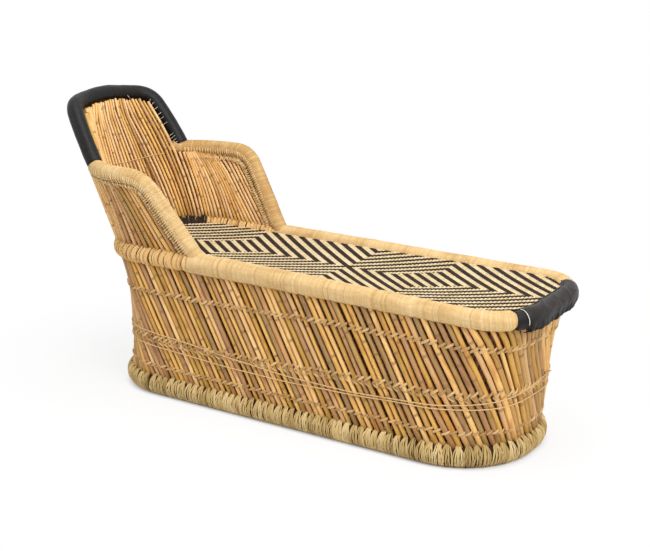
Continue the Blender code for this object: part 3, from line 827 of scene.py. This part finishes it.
def build_head_ring():
    """The head of the seat ring, bound in coarse bundles of grass that bulge and lean. Its dark core is
    painted shade in the lines between the bundles.
    """
    grass = Strands()
    stop = np.linspace(-arm_foot, arm_foot, 160)
    path, outward = ring_path(stop)
    # The core takes the darkest tone and the full mark: painted shade between the bundles
    grass.add(path, outward, RAIL_RADIUS - RING_CORE_INSET, 0.0, sides=16, mark=1.0)
    angle = np.linspace(0, 2 * math.pi, 22, endpoint=False)
    place = -arm_foot
    while place < arm_foot:
        width = min(rng.uniform(*RING_BUNDLE), arm_foot - place + RING_END_LAP)
        shade = rng.normal(0.58, 0.12)
        bulge = rng.uniform(0.002, 0.006)
        lean = rng.normal(0.003, 0.0015)
        for share in np.arange(0.0018, width - 0.0012, RING_GRASS_PITCH):
            radius = RING_GRASS_RADIUS * rng.uniform(0.8, 1.25)
            crown = RING_CROWN * math.sin(math.pi * share / width)
            around = RAIL_RADIUS - RING_CROWN + crown - radius
            sway = lean * np.sin(angle) - bulge * np.cos(angle) + rng.normal(0, 0.0002, len(angle))
            plan, outward = seat.at(place + share + sway)
            plan = plan + outward * (around * np.cos(angle))[:, None]
            path = with_height(plan, RAIL_HEIGHT + around * np.sin(angle))
            facing = np.column_stack((outward * np.cos(angle)[:, None], np.sin(angle)))
            tone = np.clip(shade + rng.normal(0, 0.12), 0, 1)
            grass.add(path, facing, radius, tone, sides=GRASS_SIDES, closed=True)
        place += width
    grass.build("head_ring_grass", GRASS_ROPE, "grass", "head_ring_wrap")


def wound_sleeve(name, path, outward, radius, node, taper, shaded=0, middle_tone=NEAR_TONE):
    """A tube of tightly wound jute cord round a path, tapered at its far end, with painted shade in the
    grooves between turns. With shaded at 1 or -1 its underside, a quarter turn back or on, also gets painted
    shade behind the cords that sew it to the reeds."""
    angle = np.arange(SLEEVE_SIDES) / SLEEVE_SIDES
    turn = np.arange(len(path))[:, None] / TURN_POINTS + angle
    number = np.floor(turn).astype(int)
    height = np.sqrt(np.clip(1 - (2 * (turn - number) - 1) ** 2, 0, 1))
    each = rng.normal(0, 1, number.max() + 1)
    along = lengths_along(path)[:, None]
    lumps = 0.00035 * np.sin(along * 61 + 1.3) * np.cos(2 * math.pi * angle + along * 17)
    lumps = lumps + 0.0003 * np.sin(along * 23)
    end = np.sqrt(np.clip((along[-1] - along) / SLEEVE_ROUNDING, 0, 1)) * taper + (1 - taper)
    full = radius - JUTE_DEPTH + JUTE_DEPTH * height + 0.00018 * each[number] + lumps
    tone = np.clip(middle_tone + 0.16 * each[number] + 0.12 * np.sin(along * 40), 0, 1)
    # Painted shade: tone and mark darken the underside of an arm, and mark darkens the grooves between turns
    under = abs(shaded) * smooth(-shaded * np.sin(2 * math.pi * angle), 0.10, 0.50)
    mark = np.maximum(1 - height, under)
    sleeve = Strands()
    sleeve.add(path, outward, full * end, tone * (1 - under), sides=SLEEVE_SIDES, mark=mark)
    sleeve.build(name, JUTE, "jute", node)


def build_ring_pole():
    """The hidden pole of the seat ring, slim enough for its wraps where they are lower at the foot."""
    pole = Strands()
    stop = np.linspace(0.0, seat.length, 300, endpoint=False)
    path, outward = ring_path(stop, (NEAR_FOOT_HEIGHT + FAR_FOOT_HEIGHT) / 2)
    pole.add(path, outward, POLE_RADIUS, 0.5, sides=12, closed=True)
    pole.build("ring_pole", POLE, "pole", "seat_ring_pole")


def build_rails():
    """The side rails in fine wound jute, slimmer and lower towards the foot end and rounded off there."""
    stop = np.arange(arm_foot - RAIL_LAP, cover_start, JUTE_PITCH / TURN_POINTS)
    share = smooth(stop, arm_foot, cover_start)
    radius = (RAIL_RADIUS + (FOOT_RADIUS - RAIL_RADIUS) * share)[:, None]
    for side, sign, foot_height in (("near", 1, NEAR_FOOT_HEIGHT), ("far", -1, FAR_FOOT_HEIGHT)):
        path, outward = ring_path(sign * stop, RAIL_HEIGHT + (foot_height - RAIL_HEIGHT) * share)
        wound_sleeve(f"{side}_rail_jute", path, outward, radius, f"{side}_rail_wrap", RAIL_TAPER)


def build_arms():
    """The two arms in fine wound jute, each rounded off at its back end. The far one is a little duller."""
    line = evenly(arm_path, JUTE_PITCH / TURN_POINTS)
    for side, sign, middle_tone in (("near", 1, NEAR_TONE), ("far", -1, FAR_TONE)):
        path, outward = upper_wall(sign * line[:, 0], line[:, 1])
        wound_sleeve(f"{side}_arm_jute", path, outward, ARM_RADIUS, f"{side}_arm_wrap", ARM_TAPER, sign,
                     middle_tone)


def build_arm_loops():
    """The loops that sew each arm to its reeds: short cords along its lower edge, outside and inside."""
    line = evenly(arm_path, LOOP_PITCH)
    _, inside = ahead_and_inside(line)
    turn = np.radians((-8, 18, 40, 60, 80))
    for side, sign in (("near", 1), ("far", -1)):
        loops = Strands()
        for face in (1, -1):
            for place, down in zip(line[6:-4], inside[6:-4]):
                arm_loop(loops, place, down, turn, sign, face)
        loops.build(f"{side}_arm_loops", JUTE, "jute")


def arm_loop(loops, place, down, turn, sign, face):
    """One loop, from the side of an arm down over its edge and into the reeds below it."""
    reach = rng.uniform(*LOOP_REACH)
    depth = np.concatenate((ARM_RADIUS * np.sin(turn), (ARM_RADIUS + reach, ARM_RADIUS + reach + 0.003)))
    on_reeds = LAYER_OFFSET + CLOSE_RADIUS
    offset = np.concatenate((ARM_RADIUS * np.cos(turn), (on_reeds, on_reeds - 0.008)))
    offset = np.maximum(offset, (0, 0, 0, 0, on_reeds, 0, 0)) * (0.93, 1.02, 1.03, 1.02, 1, 1, 1)
    where = place + depth[:, None] * down
    on_arm = np.arange(len(where)) < len(turn)
    offset = offset + on_arm * face * SIDE_FLARE * (place[1] - where[:, 1])
    where[:, 0] += rng.normal(0, 0.0018) * np.linspace(0, 1, len(where))
    path, outward = upper_wall(sign * where[:, 0], where[:, 1], face * offset)
    radius, tone = rng.uniform(*LOOP_RADIUS), rng.uniform(0.3, 0.9)
    loops.add(path, face * outward, radius, tone, sides=TWINE_SIDES)


def close_step(layer, start):
    """The longest step to the next reed of a closed layer that keeps their tips within its pitch."""
    steps = np.arange(0.0, CLOSE_PITCH, CLOSE_TRIAL)
    starts = start - steps
    stops = starts + np.interp(starts, *LEANS[layer]) * FRAME_CORNER_RISE
    tips, _ = upper_wall(stops, np.full(len(stops), SEAT_TOP + FRAME_CORNER_RISE))
    apart = np.linalg.norm(tips - tips[0], axis=1)
    return max(steps[apart < CLOSE_PITCH].max(), CLOSEST)


def upper_spacing(layer, start):
    """Spacing and thickness of a layer's reeds: apart where it shows in front, closed to the tips behind."""
    if layer > 0 and start > NEAR_ARM_START:
        return NEAR_ARM_PITCH, NEAR_ARM_RADIUS
    if layer < 0 and start < FAR_ARM_START:
        return FAR_ARM_PITCH, FAR_ARM_RADIUS
    if layer < 0 and start < arm_back:
        return BEND_PITCH if abs(start) > BEND_START else BACK_PITCH, BACK_RADIUS
    return close_step(layer, start), CLOSE_RADIUS


def upper_reed(layer, start):
    """Stops and heights of one reed above the seat ring, up into the arm or onto the frame, or None."""
    heights = np.arange(SEAT_TOP - UPPER_ROOT, SEAT_TOP + FRAME_PEAK_RISE, HEIGHT_STEP)
    stops = start + np.interp(start, *LEANS[layer]) * (heights - SEAT_TOP)
    places = np.column_stack((stops, heights))
    to_arm = distance_to(np.column_stack((np.abs(stops), heights)), arm_outside_posts)
    to_frame = distance_to(places, frame_path)
    to_end = to_frame if layer > 0 else distance_to(places, frame_arch)
    lap = FRAME_RADIUS * FRAME_LAP if layer > 0 else FRAME_RADIUS - rng.uniform(*TIP_LAP)
    hit = np.nonzero((to_arm < ARM_RADIUS / 2) | (to_end < lap))[0]
    last = hit[0] if len(hit) else len(heights) - 1
    if heights[last] - SEAT_TOP < SHORTEST_REED:
        return None
    return stops[:last + 1], heights[:last + 1], to_frame[:last + 1]


def build_upper_wall(layer, label, slot):
    """One layer of the arms and back in four panels. Inner tips lie over the front of the frame, and reeds
    that stand closer than their thickness lie in two staggered rows."""
    panels = {}
    start = arm_foot
    row = 0
    while start > -arm_foot:
        pitch, thickness = upper_spacing(layer, start)
        start -= pitch * rng.normal(1, 0.05)
        row = 1 - row if pitch < 2 * thickness else 0
        made = upper_reed(layer, start)
        if made is None:
            continue
        stops, heights, to_frame = made
        level, girth, mark = reed_levels(heights[0], heights[-1])
        stop = np.interp(level, heights, stops)
        near = np.clip(1 - np.interp(level, heights, to_frame) / TIP_LIFT_REACH, 0, 1)
        lift = (FRAME_RADIUS + thickness - LAYER_OFFSET) * near if layer < 0 else 0 * near
        offset = layer * (LAYER_OFFSET + lift + row * STAGGER) + rng.normal(0, DEPTH_STRAY)
        path, outward = upper_wall(stop, level, offset)
        if abs(stops[-1]) >= arm_back:
            name = "near_arm" if stops[-1] > 0 else "far_arm"
        else:
            name = "back_near" if stops[0] + stops[-1] > 0 else "back_far"
        radius = thickness * stray_girth(*UPPER_GIRTHS) * girth
        tone = rng.normal(*INNER_TONES) if layer < 0 else rng.uniform(*OUTER_TONES)
        # Painted shade: outer reeds behind the back take only the darker shades, seen through the gaps of
        # the inner layer
        if layer > 0 and start < arm_back:
            tone = rng.uniform(*BACK_TONES_IN_PAINTED_SHADE) % 1
        panel = panels.setdefault(name, Strands())
        panel.add(path, outward, radius, tone, sides=REED_SIDES, mark=mark)
    for name, panel in panels.items():
        panel.build(f"{name}_{label}_wall", REED, slot, f"{name}_{label}_reeds")


def creases(along, angle, size):
    """Soft folds of a tight cover, as heights over the tube's length and angle."""
    total = 0.0
    for _ in range(7):
        bend = rng.uniform(0.5, 1.6) * np.sin(angle * rng.integers(1, 3) + rng.uniform(0, 6))
        wave = along * rng.uniform(12, 55) + rng.integers(0, 3) * angle + bend + rng.uniform(0, 6)
        total = total + (1 - np.abs(np.sin(wave))) ** 3 * rng.uniform(0.4, 1.0)
    return size * (total / 3 - 0.4)


def build_frame_cover():
    """The tight black cover of the back frame, and the white stitches that close it on the far side."""
    line = softened(evenly(frame_path, 0.004), 4)
    path, outward = upper_wall(line[:, 0], line[:, 1])
    fold = creases(lengths_along(path)[:, None], angles_round(COVER_SIDES), FRAME_CREASE_DEPTH)
    shine = rng.uniform(0, 0.35, (len(path), 1))
    cover = Strands()
    cover.add(path, outward, FRAME_RADIUS + fold, shine, sides=COVER_SIDES,
              mark=np.clip(fold / FRAME_CREASE_DEPTH, 0, 1))
    cover.build("back_leathercloth", LEATHERCLOTH, "leathercloth", "back_frame_cover")
    ahead, inside = ahead_and_inside(line)
    stitches = Strands()
    depth = np.linspace(0.007, 0.0212, 7)
    for share in STITCH_SHARES:
        k = round(share * (len(line) - 1))
        reach = depth * rng.uniform(0.85, 1.0)
        where = line[k] + reach[:, None] * inside[k] + ahead[k] * reach[:, None] * STITCH_SLANT
        front = np.sqrt(np.clip((FRAME_RADIUS + 0.0008) ** 2 - reach ** 2, 0.0001, None))
        path, outward = upper_wall(where[:, 0], where[:, 1], -front)
        stitches.add(path, outward, STITCH_RADIUS, rng.uniform(), sides=5)
    stitches.build("frame_stitches", PALE_THREAD, "twine")


def foot_path(stop):
    """Points along the foot end of the seat ring, lowest at the near side, and outward directions."""
    ends = (cover_start, seat.length - cover_start)
    return ring_path(stop, np.interp(stop, ends, (NEAR_FOOT_HEIGHT, FAR_FOOT_HEIGHT)))


def round_ring(stop, angle, reach):
    """Points on a tube round the ring's foot, by angle from outward through down, and directions away."""
    path, outward = foot_path(stop)
    away = outward * np.cos(angle)[:, None] - np.outer(np.sin(angle), (0, 0, 1))
    return path + away * np.reshape(reach, (-1, 1)), away


def build_foot_cover():
    """The padded black cover of the foot end: a neck, a swollen body, a sewn edge and a ragged hem."""
    stop = np.arange(cover_start - 0.002, seat.length - cover_start + 0.006, 0.003)
    path, outward = foot_path(stop)
    along = lengths_along(path)[:, None]
    angle = angles_round(COVER_SIDES)
    neck = smooth(along, NECK_LENGTH, NECK_LENGTH + 0.010)
    end = np.sqrt(np.clip((along[-1] - along) / 0.016, 0, 1))
    ragged = 0.7 + 0.4 * np.sin(along * 160) * np.sin(along * 71 + 1) + 0.3 * np.sin(along * 410)
    hem = HEM_DEPTH * np.exp(-((angle - HEM_ANGLE) / 0.55) ** 2) * ragged * (0.35 + 0.65 * neck)
    fold = creases(along, angle, CREASE_DEPTH) * neck
    girth = (FOOT_RADIUS * (0.90 + 0.13 * neck) + fold + hem) * (0.55 + 0.45 * end)
    # Painted sheen: the body is lighter on its upper side
    shine = 0.25 + 0.75 * neck * np.clip(0.6 - 0.9 * np.sin(angle), 0, 1)
    cover = Strands()
    cover.add(path, outward, girth, shine, sides=COVER_SIDES, mark=np.clip(fold / CREASE_DEPTH, 0, 1))
    for place in np.arange(stop[0] + NECK_LENGTH, stop[-1] - 0.01, 0.005):
        fall = HEM_ANGLE + np.linspace(-0.1, rng.uniform(0.15, 0.35), 4)
        where, away = round_ring(place + rng.normal(0, 0.001, 4), fall, FOOT_RADIUS + HEM_DEPTH * 0.8)
        cover.add(where, away, rng.uniform(0.0008, 0.0018), 0.1, sides=5)
    seam = stop[4:-4]
    where, away = round_ring(seam, np.full(len(seam), SEAM_ANGLE), FOOT_RADIUS * 1.03)
    cover.add(where, away, SEAM_RADIUS, 0.2, sides=TWINE_SIDES)
    cover.build("foot_leathercloth", LEATHERCLOTH, "leathercloth", "foot_cover")
    arc = np.radians(np.linspace(-105, 25, 14))
    place = cover_start + NECK_LENGTH * np.linspace(0.45, 1.0, 14) ** 0.5
    where, away = round_ring(place, arc, FOOT_RADIUS * 0.985)
    thread = Strands()
    thread.add(where, away, THREAD_RADIUS, 0.8, sides=TWINE_SIDES)
    thread.build("foot_thread", PALE_THREAD, "twine")


def black_on_top(i, j):
    """Whether a lengthwise black rope lies over the cream one, by the crossing's numbers along X and Y."""
    off = np.where(i < 0, i - HEAD_DIAMOND, i - FOOT_DIAMOND)
    ring = np.abs(off) + np.abs(j)
    ring = np.where(ring <= DIAMOND_CORE, np.abs(off + j), ring)
    return (ring + 1) % STRIPE < STRIPE / 2


def weave_level(x, y):
    """Height of the middle of the woven seat, which sags between the rails."""
    across = np.clip(np.abs(y) / (SEAT_HALF_WIDTH - RAIL_RADIUS), 0, 1)
    length = np.clip(np.abs(x - (SEAT_HEAD_X + SEAT_FOOT_X) / 2) / ((SEAT_FOOT_X - SEAT_HEAD_X) / 2), 0, 1)
    return WEAVE_LEVEL - WEAVE_SAG * (1 - across ** 2) * (1 - length ** 4)


def rope(strands, fixed, low, high, cell, number, along_x):
    """One rope of the seat, over or under each crossing as the pattern says."""
    ends = math.ceil(low / cell * ROPE_PARTS), math.floor(high / cell * ROPE_PARTS) + 1
    place = np.arange(*ends) / ROPE_PARTS
    crossing = np.round(place).astype(int)
    if along_x:
        above = black_on_top(crossing, number)
        x, y = WEAVE_MIDDLE_X + place * cell, np.full(len(place), fixed)
    else:
        above = ~black_on_top(number, crossing)
        x, y = np.full(len(place), fixed), place * cell
    swing = np.where(above, 1.0, -1.0)
    swing = np.convolve(np.pad(swing, 2, mode="edge"), (0.12, 0.22, 0.32, 0.22, 0.12), "valid")
    path = np.column_stack((x, y, weave_level(x, y) + ROPE_LIFT * swing))
    width = ROPE_FILL * (ROPE_CELL_Y if along_x else ROPE_CELL_X)
    radius = width * (1 + rng.normal(0, 0.02))
    tone = np.clip(rng.normal(0.5, 0.2), 0, 1)
    # Painted shade: mark darkens the rope where it dips under a crossing rope
    mark = np.clip(-swing, 0, 1) * 0.5
    strands.add(path, UP, radius, tone, sides=8, flat=ROPE_HALF_HEIGHT / width, mark=mark)


def add_fringe(black):
    """The ends of the black ropes, turned up in front of the back."""
    inset = np.array((0.034, 0.029, 0.025, 0.020, 0.017))
    for place in np.arange(-FRINGE_REACH, FRINGE_REACH, FRINGE_PITCH):
        plan, outward = seat.at(place + rng.normal(0, 0.001) * np.linspace(0, 3, 5))
        rise = rng.uniform(*FRINGE_RISE) * np.linspace(0, 1, 5)
        path = with_height(plan - outward * inset[:, None], WEAVE_LEVEL + rise)
        black.add(path, with_height(outward, 0.0), FRINGE_RADIUS, rng.uniform(0, 0.6), sides=TWINE_SIDES)


def build_seat_weave():
    """The woven seat: black ropes lengthwise, cream ropes across, in two nested diamonds."""
    plan, outward = seat.at(np.linspace(0.0, seat.length / 2, 2000))
    edge = plan - outward * (RAIL_RADIUS - WEAVE_LAP)
    head, foot = edge[:, 0].min(), edge[:, 0].max()
    half = np.abs(edge[:, 1])
    widest = half.max()
    black, cream = Strands(), Strands()
    turn = np.argmax(half > widest - 1e-6)
    back = edge[::-1]
    last = np.argmax(np.abs(back[:, 1]) > widest - 1e-6)
    for number in range(-round(widest / ROPE_CELL_Y), round(widest / ROPE_CELL_Y) + 1):
        y = number * ROPE_CELL_Y
        if abs(y) < widest - 0.001:
            low = np.interp(abs(y), half[:turn], edge[:turn, 0])
            high = np.interp(abs(y), np.abs(back[:last, 1]), back[:last, 0])
            rope(black, y, low - WEAVE_MIDDLE_X, high - WEAVE_MIDDLE_X, ROPE_CELL_X, number, True)
    first = math.ceil((head - WEAVE_MIDDLE_X) / ROPE_CELL_X)
    for number in range(first, math.floor((foot - WEAVE_MIDDLE_X) / ROPE_CELL_X) + 1):
        x = WEAVE_MIDDLE_X + number * ROPE_CELL_X
        reach = half[np.argmin(np.abs(edge[:, 0] - x))]
        rope(cream, x, -reach, reach, ROPE_CELL_Y, number, False)
    add_fringe(black)
    cream.build("woven_cream_ropes", CREAM_ROPE, "rope", "seat_weave")
    black.build("woven_black_ropes", BLACK_ROPE, "rope")


def build_back_cord():
    """The thin cord tied across the inside of the back."""
    cord = Strands()
    stop = np.linspace(frame_corner, -frame_corner, 40)
    level = SEAT_TOP + BACK_CORD_RISE - BACK_CORD_SAG * np.cos(stop / frame_corner * math.pi / 2)
    stand_off = LAYER_OFFSET + BACK_RADIUS + 0.0012
    path, outward = upper_wall(stop, level, -stand_off)
    cord.add(path, outward, BACK_CORD_RADIUS, 0.6, sides=TWINE_SIDES)
    cord.build("back_twine", TWINE, "twine", "back_cord")


def build_loose_end():
    """The end of a tie that sticks out of the wall at the foot."""
    twig = Strands()
    start, outward = base_wall(np.array((TWIG_STOP,)), TWIG_HEIGHT, LAYER_OFFSET)
    share = np.linspace(0, 1, 5)[:, None]
    path = start + share * (outward * TWIG_REACH + UP * TWIG_LIFT) + UP * (TWIG_LIFT * share ** 2)
    twig.add(path, UP, TWIG_RADIUS, 0.1, sides=TWINE_SIDES)
    twig.build("loose_twine_end", TWINE, "twine")


def light(name, place, size, power):
    """A large soft lamp that points at the part."""
    lamp = bpy.data.lights.new(name, "AREA")
    lamp.shape = "DISK"
    lamp.size = size
    lamp.energy = power
    holder = bpy.data.objects.new(name, lamp)
    holder.location = place
    holder.rotation_euler = (LAMP_AIM - Vector(place)).to_track_quat("-Z", "Y").to_euler()
    bpy.context.scene.collection.objects.link(holder)


def seen_ray(tree):
    """One for rays that show the background: straight from the camera, in gloss or through glass."""
    path = tree.nodes.new("ShaderNodeLightPath")
    total = path.outputs["Is Camera Ray"]
    for name in ("Is Glossy Ray", "Is Transmission Ray"):
        either = tree.nodes.new("ShaderNodeMath")
        either.operation = "MAXIMUM"
        tree.links.new(total, either.inputs[0])
        tree.links.new(path.outputs[name], either.inputs[1])
        total = either.outputs[0]
    return total


def build_floor():
    """A pale floor, shaded inside the hoop, with a soft shadow near it that fades to white around."""
    mesh = bpy.data.meshes.new("floor")
    corners = [(x * FLOOR_HALF, y * FLOOR_HALF, 0) for x, y in ((-1, -1), (1, -1), (1, 1), (-1, 1))]
    mesh.from_pydata(corners, [], [(0, 1, 2, 3)])
    floor = bpy.data.objects.new("floor", mesh)
    bpy.context.scene.collection.objects.link(floor)
    shader = Shader("pale_floor", 0.9, 0.0)
    shader.surface.inputs["Base Color"].default_value = (0.86, 0.86, 0.86, 1.0)
    white = shader.node("ShaderNodeEmission", {"Color": (1.0, 1.0, 1.0, 1.0), "Strength": 1.0})
    place = shader.node("ShaderNodeTexCoord", {}).outputs["Object"]
    core = [half_side - FOOTPRINT_CORNER for half_side in FOOTPRINT_HALF]
    for operation, other in (("SUBTRACT", (FOOTPRINT_MIDDLE_X, 0.0, 0.0)), ("ABSOLUTE", (0.0, 0.0, 0.0)),
                             ("SUBTRACT", (*core, 0.0)), ("MAXIMUM", (0.0, 0.0, 0.0))):
        place = shader.node("ShaderNodeVectorMath", {0: place, 1: other}, operation=operation).outputs[0]
    away = shader.node("ShaderNodeVectorMath", {0: place}, operation="LENGTH").outputs["Value"]
    edge = FOOTPRINT_CORNER + NEAR_FADE
    near = shader.fade(away, FOOTPRINT_CORNER, edge, NEAR_WHITE)
    far = shader.fade(away, edge, FOOTPRINT_CORNER + FAR_FADE, 1 - NEAR_WHITE)
    whole = shader.node("ShaderNodeMath", {0: near, 1: far}, operation="ADD").outputs[0]
    share = shader.times(whole, seen_ray(shader.tree))
    blend = shader.node("ShaderNodeMixShader", {0: share, 1: shader.surface.outputs[0], 2: white.outputs[0]})
    shader.tree.links.new(blend.outputs[0], shader.tree.nodes["Material Output"].inputs["Surface"])
    mesh.materials.append(shader.material)


def build_light():
    """A white world for the background, dimmer as light, and three large soft lamps."""
    world = bpy.data.worlds.new("studio")
    bpy.context.scene.world = world
    world.use_nodes = True
    tree = world.node_tree
    backdrop = tree.nodes["Background"]
    backdrop.inputs["Color"].default_value = (1.0, 1.0, 1.0, 1.0)
    level = tree.nodes.new("ShaderNodeMapRange")
    level.inputs["To Min"].default_value = WORLD_LIGHT
    level.inputs["To Max"].default_value = 1.0
    tree.links.new(seen_ray(tree), level.inputs["Value"])
    tree.links.new(level.outputs["Result"], backdrop.inputs["Strength"])
    for name, lamp in LAMPS.items():
        light(name, *lamp)


def build_camera():
    """The camera at the photo's viewing angle."""
    lens = bpy.data.cameras.new("camera")
    lens.lens = CAMERA_LENS
    holder = bpy.data.objects.new("camera", lens)
    level = math.cos(CAMERA_ELEVATION)
    along, across = math.sin(CAMERA_AZIMUTH), -math.cos(CAMERA_AZIMUTH)
    away = Vector((along * level, across * level, math.sin(CAMERA_ELEVATION)))
    holder.location = CAMERA_TARGET + away * CAMERA_DISTANCE
    holder.rotation_euler = away.to_track_quat("Z", "Y").to_euler()
    bpy.context.scene.collection.objects.link(holder)
    bpy.context.scene.camera = holder


def dress_poles():
    """The hidden poles of the arms and back keep their solids and get a cane material."""
    for name in ("near_arm_pole", "far_arm_pole", "back_frame_pole"):
        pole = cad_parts[name]
        pole.data.materials.clear()
        pole.data.materials.append(POLE)


build_camera()
build_hoop()
outer_ends = build_base_wall(1, "outer", REED_PITCH, REED_RADIUS, REED, "reed")
# The inner layer of the base wall takes the darker reed, painted shade
build_base_wall(-1, "inner", INNER_PITCH, INNER_RADIUS, INNER_REED_PAINTED_SHADE, "inner_reed")
build_twine_rows(outer_ends)
build_head_ring()
build_ring_pole()
build_rails()
build_arms()
build_arm_loops()
build_upper_wall(1, "outer", "reed")
build_upper_wall(-1, "inner", "inner_reed")
build_frame_cover()
build_foot_cover()
build_seat_weave()
build_back_cord()
build_loose_end()
dress_poles()
build_floor()
build_light()
bpy.context.scene.view_settings.view_transform = "Standard"
